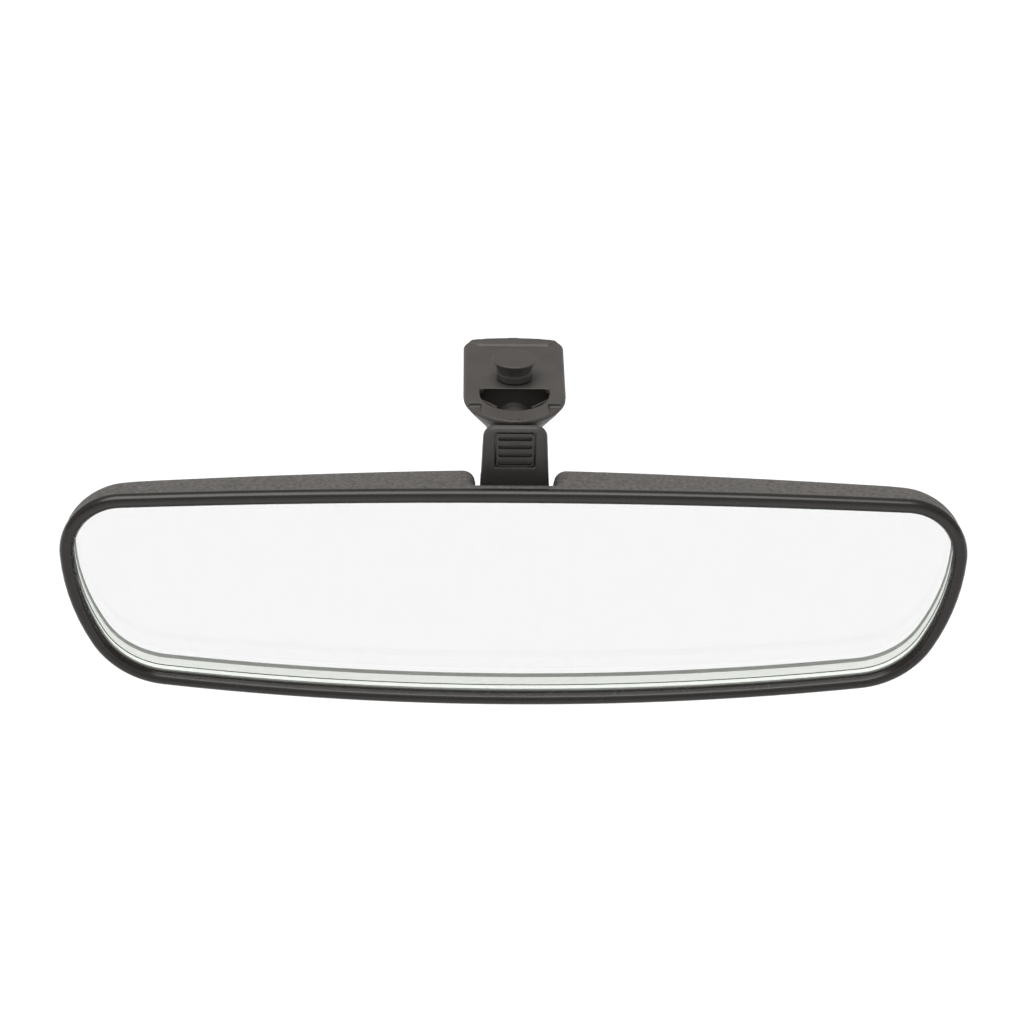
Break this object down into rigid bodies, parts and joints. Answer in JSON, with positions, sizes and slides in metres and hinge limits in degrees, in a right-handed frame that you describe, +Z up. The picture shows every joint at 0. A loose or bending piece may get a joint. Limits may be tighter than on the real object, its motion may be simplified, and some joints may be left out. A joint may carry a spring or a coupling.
{
  "type": "interior rearview mirror",
  "caption": "Interior rearview mirror: framed wedge glass in a notched housing, day/night flip lever, and a neck on a ball joint under a flat roof foot with a mushroom stud.",
  "frame": {"origin": "on the mounting stud's axis, in the plane of the foot's seat face", "axes": "+Z up along the mounting stud, +X along the mirror's length to the driver's right as they look at the glass, -Y towards the driver"},
  "size_m": [0.24, 0.0665, 0.0879],
  "materials": {
    "foot_plastic": "moulded satin",
    "black_plastic": "moulded satin",
    "grained_plastic": "fine leather grain",
    "seat_plastic": "smooth acetal",
    "steel": "zinc plated",
    "glass": "polished, ground edge",
    "silvering": "mirror",
    "foam": "closed-cell foam"
  },
  "bodies": {
    "foot": {"foot_shell": "foot_plastic", "mounting_stud": "foot_plastic", "ball_stud": "steel", "stud_screw": "steel", "stud_washer": "steel"},
    "yaw_seat": {"ball_seat_ring": "seat_plastic"},
    "pitch_seat": {"ball_seat_cup": "seat_plastic"},
    "neck": {"neck_shell": "black_plastic", "socket_clamp": "black_plastic", "clamp_screw_1": "steel", "clamp_screw_2": "steel"},
    "tongue": {"release_tongue": "black_plastic"},
    "head": {"hinge_pin": "steel", "pin_bracket": "steel", "bracket_screw_1": "steel", "bracket_screw_2": "steel", "bracket_screw_3": "steel", "bracket_screw_4": "steel", "lever_pin": "steel", "housing": "grained_plastic", "bezel": "black_plastic", "mirror_glass": "glass", "silver_coating": "silvering", "backing_pad": "foam"},
    "lever": {"day_night_lever": "black_plastic"}
  },
  "joints": [
    {"name": "ball_yaw", "type": "hinge", "parent": "foot", "child": "yaw_seat", "pos_m": [0, -0.022, -0.011], "axis": [0, 0, 1], "range_deg": [-15, 15]},
    {"name": "ball_pitch", "type": "hinge", "parent": "yaw_seat", "child": "pitch_seat", "pos_m": [0, -0.022, -0.011], "axis": [1, 0, 0], "range_deg": [-8, 8]},
    {"name": "ball_roll", "type": "hinge", "parent": "pitch_seat", "child": "neck", "pos_m": [0, -0.022, -0.011], "axis": [0, 1, 0], "range_deg": [-8, 8]},
    {"name": "tongue_press", "type": "hinge", "parent": "neck", "child": "tongue", "pos_m": [0, -0.0305, -0.011], "axis": [-1, 0, 0], "range_deg": [0, 5], "stiffness_Nm_per_rad": 0.9},
    {"name": "day_night_flip", "type": "hinge", "parent": "neck", "child": "head", "pos_m": [0, -0.0251, -0.0265], "axis": [-1, 0, 0], "range_deg": [0, 4]},
    {"name": "lever_swing", "type": "hinge", "parent": "head", "child": "lever", "pos_m": [0, -0.0237, -0.0707], "axis": [-1, 0, 0], "range_deg": [0, 40]}
  ],
  "couplings": [
    {"joint": "lever_swing", "follows": "day_night_flip", "ratio": 10}
  ]
}
